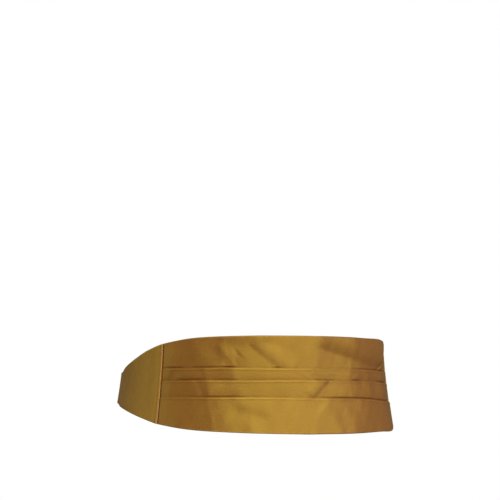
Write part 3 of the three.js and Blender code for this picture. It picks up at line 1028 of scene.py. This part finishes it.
class CUMMERBUND_OT_stage(bpy.types.Operator):
    """Sets up the floor, the light and the camera"""

    bl_idname = "cummerbund.stage"
    bl_label = "Studio"

    def execute(self, context):
        scene, studio = context.scene, context.scene.cummerbund_studio
        self.floor(studio)
        self.surroundings(scene, studio)
        self.lights(scene)
        self.camera(scene, studio)
        scene.view_settings.view_transform = "Standard"
        return {"FINISHED"}

    def floor(self, studio):
        place = (0, 0, -studio.floor_depth)
        bpy.ops.mesh.primitive_circle_add(
            vertices=128, radius=FLOOR_RADIUS, fill_type="NGON", location=place
        )
        floor = bpy.context.object
        floor.name = "floor"
        floor.data.materials.append(plain_paint("pale floor", FLOOR_GREY, 0.9, FLOOR_GLOW))
        floor.visible_diffuse = False
        floor.visible_glossy = False

    def surroundings(self, scene, studio):
        """White to the camera, and a soft fill light, weaker from below and from the wearer's left."""
        world = bpy.data.worlds.new("studio")
        scene.world = world
        world.use_nodes = True
        tree = world.node_tree
        fill = tree.nodes["Background"]
        fill.inputs["Color"].default_value = (*FILL_TINT, 1)
        white = tree.nodes.new("ShaderNodeBackground")
        way = tree.nodes.new("ShaderNodeTexCoord")
        strength = studio.fill
        for row in DARKER:
            facing = tree.nodes.new("ShaderNodeVectorMath")
            facing.operation = "DOT_PRODUCT"
            dark = towards(math.radians(row["azimuth"]), math.radians(row["elevation"]))
            facing.inputs[1].default_value = dark
            tree.links.new(way.outputs["Generated"], facing.inputs[0])
            weaker = tree.nodes.new("ShaderNodeMapRange")
            tree.links.new(facing.outputs["Value"], weaker.inputs["Value"])
            weaker.inputs["From Min"].default_value = row["start"]
            weaker.inputs["From Max"].default_value = row["start"] + DARKER_RANGE
            weaker.inputs["To Min"].default_value = 1.0
            weaker.inputs["To Max"].default_value = row["least"]
            scaled = tree.nodes.new("ShaderNodeMath")
            scaled.operation = "MULTIPLY"
            tree.links.new(weaker.outputs[0], scaled.inputs[0])
            if isinstance(strength, float):
                scaled.inputs[1].default_value = strength
            else:
                tree.links.new(strength, scaled.inputs[1])
            strength = scaled.outputs[0]
        tree.links.new(strength, fill.inputs["Strength"])
        white.inputs["Color"].default_value = (*WHITE, 1)
        seen = tree.nodes.new("ShaderNodeLightPath")
        mix = tree.nodes.new("ShaderNodeMixShader")
        tree.links.new(seen.outputs["Is Camera Ray"], mix.inputs[0])
        tree.links.new(fill.outputs[0], mix.inputs[1])
        tree.links.new(white.outputs[0], mix.inputs[2])
        tree.links.new(mix.outputs[0], tree.nodes["World Output"].inputs["Surface"])

    def lights(self, scene):
        for row in LIGHTS:
            lamp = bpy.data.lights.new(row["name"], "AREA")
            lamp.shape = "RECTANGLE"
            lamp.size, lamp.size_y = row["wide"], row["tall"]
            lamp.energy = row["power"]
            lamp.color = row["tint"]
            light = bpy.data.objects.new(row["name"], lamp)
            scene.collection.objects.link(light)
            light.visible_camera = False
            away = towards(math.radians(row["azimuth"]), math.radians(row["elevation"]))
            light.location = away * row["distance"]
            light.rotation_euler = away.to_track_quat("Z", "Y").to_euler()

    def camera(self, scene, studio):
        lens = bpy.data.cameras.new("camera")
        lens.lens = studio.focal_pixels * lens.sensor_width / studio.picture
        lens.clip_end = 100
        camera = bpy.data.objects.new("camera", lens)
        scene.collection.objects.link(camera)
        scene.camera = camera
        back = towards(studio.azimuth, studio.elevation)
        rolled = back.to_track_quat("Z", "Y").to_matrix() @ Matrix.Rotation(studio.roll, 3, "Z")
        pixel = studio.distance / studio.focal_pixels
        right = (studio.waist_across - studio.picture / 2) * pixel
        down = (studio.waist_down - studio.picture / 2) * pixel
        aim = rolled.col[1] * down - rolled.col[0] * right
        place = back * studio.distance
        sight = (place - aim).normalized()
        across = rolled.col[1].cross(sight).normalized()
        turned = Matrix((across, sight.cross(across), sight)).transposed()
        camera.matrix_world = Matrix.Translation(place) @ turned.to_4x4()


class CUMMERBUND_PT_panel(bpy.types.Panel):
    """The sash's sizes, finish and pieces"""

    bl_label = "Cummerbund"
    bl_idname = "CUMMERBUND_PT_panel"
    bl_space_type = "VIEW_3D"
    bl_region_type = "UI"
    bl_category = "Cummerbund"

    def draw(self, context):
        layout = self.layout
        for operator in OPERATORS:
            layout.operator(operator.bl_idname)
        for name in SETTINGS:
            group = getattr(context.scene, name)
            box = layout.box()
            for key in group.bl_rna.properties.keys():
                if key not in ("rna_type", "name"):
                    box.prop(group, key)


OPERATORS = (
    CUMMERBUND_OT_front_panel,
    CUMMERBUND_OT_wings,
    CUMMERBUND_OT_straps,
    CUMMERBUND_OT_clasp,
    CUMMERBUND_OT_stage,
)
SETTINGS = {
    "cummerbund_sizes": CummerbundSizes,
    "cummerbund_finish": CummerbundFinish,
    "cummerbund_studio": CummerbundStudio,
}


def register():
    for item in (*SETTINGS.values(), *OPERATORS, CUMMERBUND_PT_panel):
        bpy.utils.register_class(item)
    for name, group in SETTINGS.items():
        setattr(bpy.types.Scene, name, PointerProperty(type=group))


def unregister():
    for name in SETTINGS:
        delattr(bpy.types.Scene, name)
    for item in (CUMMERBUND_PT_panel, *reversed(OPERATORS), *SETTINGS.values()):
        bpy.utils.unregister_class(item)


def main():
    register()
    bpy.ops.cummerbund.front_panel()
    bpy.ops.cummerbund.wings()
    bpy.ops.cummerbund.straps()
    bpy.ops.cummerbund.clasp()
    bpy.ops.cummerbund.stage()


if __name__ == "__main__":
    main()
